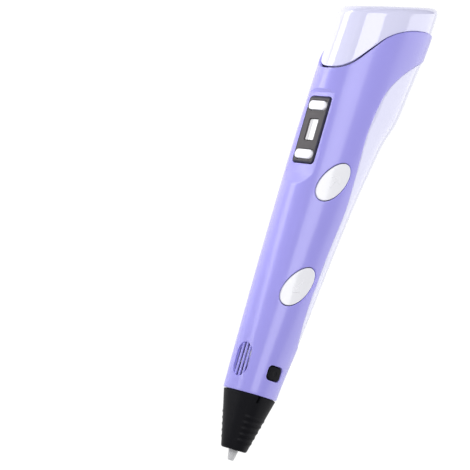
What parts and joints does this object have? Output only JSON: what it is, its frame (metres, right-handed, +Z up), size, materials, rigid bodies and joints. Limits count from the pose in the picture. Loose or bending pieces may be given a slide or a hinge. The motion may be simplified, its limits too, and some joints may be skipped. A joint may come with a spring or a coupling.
{
  "type": "three d pen",
  "caption": "Hand-held 3-D printing pen with a tapered two-colour body, a control panel with a display, oval side buttons and a removable nozzle cover.",
  "frame": {"origin": "middle of the bounding box, on the surface the pen lies on", "axes": "the pen lies on its left side: +X points the way the nozzle points, -Y is the control panel's side, +Z is up through the side with the oval buttons"},
  "size_m": [0.184, 0.0412, 0.0325],
  "materials": {
    "lilac_plastic": "satin moulded plastic",
    "white_plastic": "glossy moulded plastic",
    "bezel_plastic": "charcoal satin",
    "display_glass": "silver-grey display",
    "black_plastic": "satin black",
    "ceramic": "pale ceramic",
    "brass": "plain",
    "steel": "plain",
    "circuit_board": "green solder mask",
    "guide_tube": "waxy white fluoropolymer"
  },
  "bodies": {
    "housing": {"front_shell": "lilac_plastic", "spine_cover": "white_plastic", "top_cap": "white_plastic", "inlet_guide": "white_plastic", "control_panel": "bezel_plastic", "display_lens": "display_glass", "display_module": "display_glass", "display_board": "circuit_board", "temp_up_switch": "steel", "temp_down_switch": "steel", "feed_switch": "steel", "retract_switch": "steel", "main_board": "circuit_board", "board_screw_1": "steel", "board_screw_2": "steel", "display_screw_1": "steel", "display_screw_2": "steel", "nozzle_cover": "black_plastic", "nozzle_tip": "ceramic", "heater_barrel": "brass", "heat_sink": "steel", "throat_tube": "guide_tube", "filament_tube": "guide_tube", "fan_frame": "black_plastic", "power_socket": "black_plastic", "power_socket_pin": "steel", "drive_housing": "white_plastic", "drive_motor": "steel", "gearbox": "brass", "idler_pin": "steel", "idler_spring": "steel"},
    "temp_up_key": {"temp_up_button": "white_plastic"},
    "temp_down_key": {"temp_down_button": "white_plastic"},
    "feed_key": {"feed_button": "white_plastic"},
    "retract_key": {"retract_button": "white_plastic"},
    "latch_right": {"release_latch_right": "black_plastic"},
    "latch_left": {"release_latch_left": "black_plastic"},
    "worm": {"worm": "steel"},
    "feed_wheel": {"feed_wheel": "brass"},
    "idler_arm": {"idler_arm": "black_plastic"},
    "idler_roller": {"idler_roller": "steel"},
    "fan_rotor": {"fan_rotor": "black_plastic"}
  },
  "joints": [
    {"name": "temp_up_press", "type": "slide", "parent": "housing", "child": "temp_up_key", "axis": [0, 1, 0], "range_m": [0, 0.0005], "stiffness_N_per_m": 600},
    {"name": "temp_down_press", "type": "slide", "parent": "housing", "child": "temp_down_key", "axis": [0, 1, 0], "range_m": [0, 0.0005], "stiffness_N_per_m": 600},
    {"name": "feed_press", "type": "slide", "parent": "housing", "child": "feed_key", "axis": [-0.0372, 0.3746, -0.9264], "range_m": [0, 0.0006], "stiffness_N_per_m": 600},
    {"name": "retract_press", "type": "slide", "parent": "housing", "child": "retract_key", "axis": [-0.0372, 0.3746, -0.9264], "range_m": [0, 0.0006], "stiffness_N_per_m": 600},
    {"name": "latch_right_squeeze", "type": "hinge", "parent": "housing", "child": "latch_right", "pos_m": [0.07069, -0.01242, 0.01749], "axis": [0, -1, 0], "range_deg": [0, 5], "stiffness_Nm_per_rad": 0.2},
    {"name": "latch_left_squeeze", "type": "hinge", "parent": "housing", "child": "latch_left", "pos_m": [0.07017, -0.01242, 0.0045], "axis": [0, 1, 0], "range_deg": [0, 5], "stiffness_Nm_per_rad": 0.2},
    {"name": "worm_spin", "type": "hinge", "parent": "housing", "child": "worm", "pos_m": [-0.00391, -0.00232, 0.01398], "axis": [-0.9992, 0, 0.0401], "continuous": true},
    {"name": "feed_wheel_spin", "type": "hinge", "parent": "housing", "child": "feed_wheel", "pos_m": [-0.00391, -0.00792, 0.01398], "axis": [0.0401, 0, 0.9992], "continuous": true},
    {"name": "idler_arm_swing", "type": "hinge", "parent": "housing", "child": "idler_arm", "pos_m": [-0.01191, -0.01552, 0.0143], "axis": [-0.0401, 0, -0.9992], "range_deg": [0, 3], "stiffness_Nm_per_rad": 0.1},
    {"name": "idler_roller_spin", "type": "hinge", "parent": "idler_arm", "child": "idler_roller", "pos_m": [-0.00391, -0.01552, 0.01398], "axis": [0.0401, 0, 0.9992], "continuous": true},
    {"name": "fan_spin", "type": "hinge", "parent": "housing", "child": "fan_rotor", "pos_m": [0.05604, -0.01707, 0.01157], "axis": [0, -1, 0], "continuous": true}
  ],
  "couplings": [
    {"joint": "feed_wheel_spin", "follows": "worm_spin", "ratio": 0.0625},
    {"joint": "idler_roller_spin", "follows": "worm_spin", "ratio": -0.085}
  ]
}
